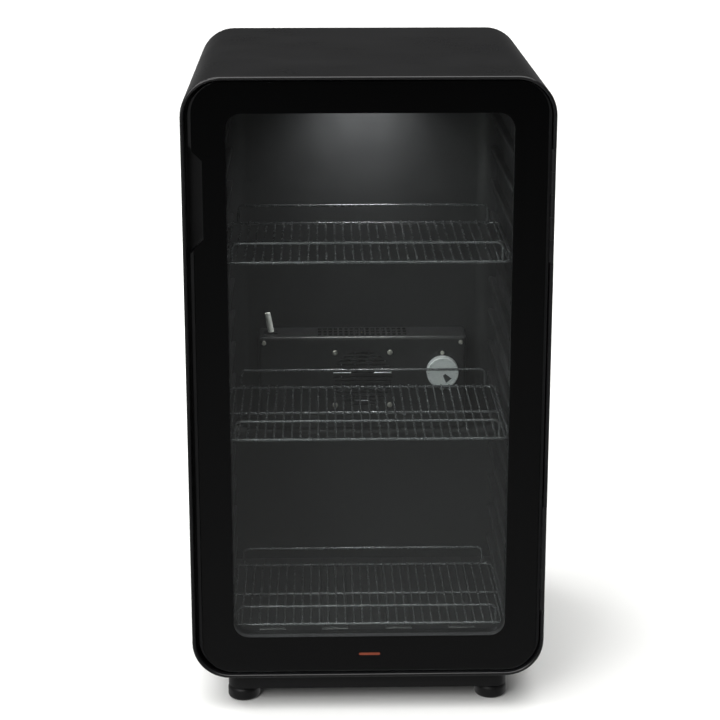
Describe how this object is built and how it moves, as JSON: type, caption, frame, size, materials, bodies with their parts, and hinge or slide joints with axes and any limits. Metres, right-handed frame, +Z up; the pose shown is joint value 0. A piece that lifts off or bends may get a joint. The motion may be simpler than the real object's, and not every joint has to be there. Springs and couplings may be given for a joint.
{
  "type": "glass-door drinks cooler",
  "caption": "Compact black drinks cooler with rounded corners, an inset glass door on pin hinges, sliding wire shelves, a fan-cooled inner room and levelling feet.",
  "frame": {"origin": "on the floor, under the middle of the cabinet", "axes": "+Z up; the door faces -Y; +X is to the right when seen from the front, the door's hinge side"},
  "size_m": [0.465, 0.475, 0.85],
  "materials": {
    "shell_black": "semi-gloss black powder coat on steel sheet",
    "liner_black": "vacuum-formed black plastic with a soft sheen",
    "foam": "rigid polyurethane foam",
    "galvanised": "galvanised sheet",
    "base_black": "moulded black plastic",
    "frame_black": "moulded black plastic, fine texture",
    "clear_glass": "tempered glass",
    "black_print": "ceramic print under glass",
    "spacer_metal": "dark anodised profile",
    "seal_black": "soft magnetic seal",
    "steel": "zinc-plated steel",
    "screw_bright": "bright plated screws",
    "shelf_wire": "dark plastic-coated wire",
    "hinge_black": "black coated steel",
    "dial_silver": "silver-grey dial",
    "probe_white": "white sleeve",
    "lamp_white": "frosted white lens",
    "board_white": "white circuit strip",
    "alu_fin": "mill-finish fins",
    "copper": "bare copper tube",
    "compressor_black": "black enamel on pressed steel",
    "condenser_black": "black dipped wire and tube",
    "tray_grey": "moulded tray",
    "foot_black": "moulded foot with a steel stud"
  },
  "bodies": {
    "cabinet": {"outer_shell": "shell_black", "inner_liner": "liner_black", "insulation_foam": "foam", "back_panel": "galvanised", "compressor_bay_panel": "galvanised", "plinth": "base_black", "hinge_cabinet_leaves": "hinge_black", "hinge_pins": "steel", "hinge_screws": "screw_bright", "panel_screws": "screw_bright", "evaporator_cover": "liner_black", "cover_screws": "screw_bright", "fan_frame": "frame_black", "fan_screws": "screw_bright", "evaporator_fins": "alu_fin", "evaporator_tube": "alu_fin", "thermostat_body": "frame_black", "thermostat_screws": "screw_bright", "sensor_probe": "probe_white", "probe_clip": "base_black", "lamp_housing": "board_white", "led_board": "board_white", "lamp_lens": "lamp_white", "compressor": "compressor_black", "compressor_feet": "compressor_black", "compressor_grommets": "seal_black", "compressor_bolts": "steel", "compressor_tray": "galvanised", "terminal_box": "base_black", "evaporation_tray": "tray_grey", "drain_tube": "tray_grey", "filter_drier": "copper", "discharge_pipe": "copper", "liquid_pipe": "condenser_black", "capillary_tube": "copper", "suction_pipe": "copper", "condenser_tube": "condenser_black", "condenser_wires": "condenser_black", "condenser_brackets": "base_black", "cable_gland": "base_black"},
    "door": {"door_frame": "frame_black", "outer_glass": "clear_glass", "printed_border": "black_print", "glass_spacer": "spacer_metal", "inner_glass": "clear_glass", "door_gasket": "seal_black", "hinge_door_leaves": "hinge_black", "door_hinge_screws": "screw_bright"},
    "fan_rotor": {"fan_rotor": "frame_black"},
    "thermostat_knob": {"thermostat_knob": "dial_silver"},
    "top_shelf": {"top_shelf_grid": "shelf_wire", "top_shelf_rails": "shelf_wire"},
    "middle_shelf": {"middle_shelf_grid": "shelf_wire", "middle_shelf_rails": "shelf_wire"},
    "bottom_shelf": {"bottom_shelf_grid": "shelf_wire", "bottom_shelf_rails": "shelf_wire"},
    "front_left_foot": {"front_left_foot": "foot_black"},
    "front_right_foot": {"front_right_foot": "foot_black"},
    "back_left_foot": {"back_left_foot": "foot_black"},
    "back_right_foot": {"back_right_foot": "foot_black"}
  },
  "joints": [
    {"name": "door_hinge", "type": "hinge", "parent": "cabinet", "child": "door", "pos_m": [0.2295, -0.2345, 0.45], "axis": [0, 0, 1], "range_deg": [0, 110]},
    {"name": "top_shelf_slide", "type": "slide", "parent": "cabinet", "child": "top_shelf", "axis": [0, -1, 0], "range_m": [0, 0.02]},
    {"name": "middle_shelf_slide", "type": "slide", "parent": "cabinet", "child": "middle_shelf", "axis": [0, -1, 0], "range_m": [0, 0.02]},
    {"name": "bottom_shelf_slide", "type": "slide", "parent": "cabinet", "child": "bottom_shelf", "axis": [0, -0.9991, 0.0422], "range_m": [0, 0.02]},
    {"name": "fan_spin", "type": "hinge", "parent": "cabinet", "child": "fan_rotor", "pos_m": [0, 0.1075, 0.3605], "axis": [0, -1, 0], "continuous": true},
    {"name": "thermostat_turn", "type": "hinge", "parent": "cabinet", "child": "thermostat_knob", "pos_m": [0.1155, 0.0875, 0.3725], "axis": [0, -1, 0], "range_deg": [-150, 150]},
    {"name": "front_left_foot_turn", "type": "hinge", "parent": "cabinet", "child": "front_left_foot", "pos_m": [-0.167, -0.1875, 0.02], "axis": [0, 0, 1], "continuous": true},
    {"name": "front_right_foot_turn", "type": "hinge", "parent": "cabinet", "child": "front_right_foot", "pos_m": [0.167, -0.1875, 0.02], "axis": [0, 0, 1], "continuous": true},
    {"name": "back_left_foot_turn", "type": "hinge", "parent": "cabinet", "child": "back_left_foot", "pos_m": [-0.167, 0.1875, 0.02], "axis": [0, 0, 1], "continuous": true},
    {"name": "back_right_foot_turn", "type": "hinge", "parent": "cabinet", "child": "back_right_foot", "pos_m": [0.167, 0.1875, 0.02], "axis": [0, 0, 1], "continuous": true}
  ]
}
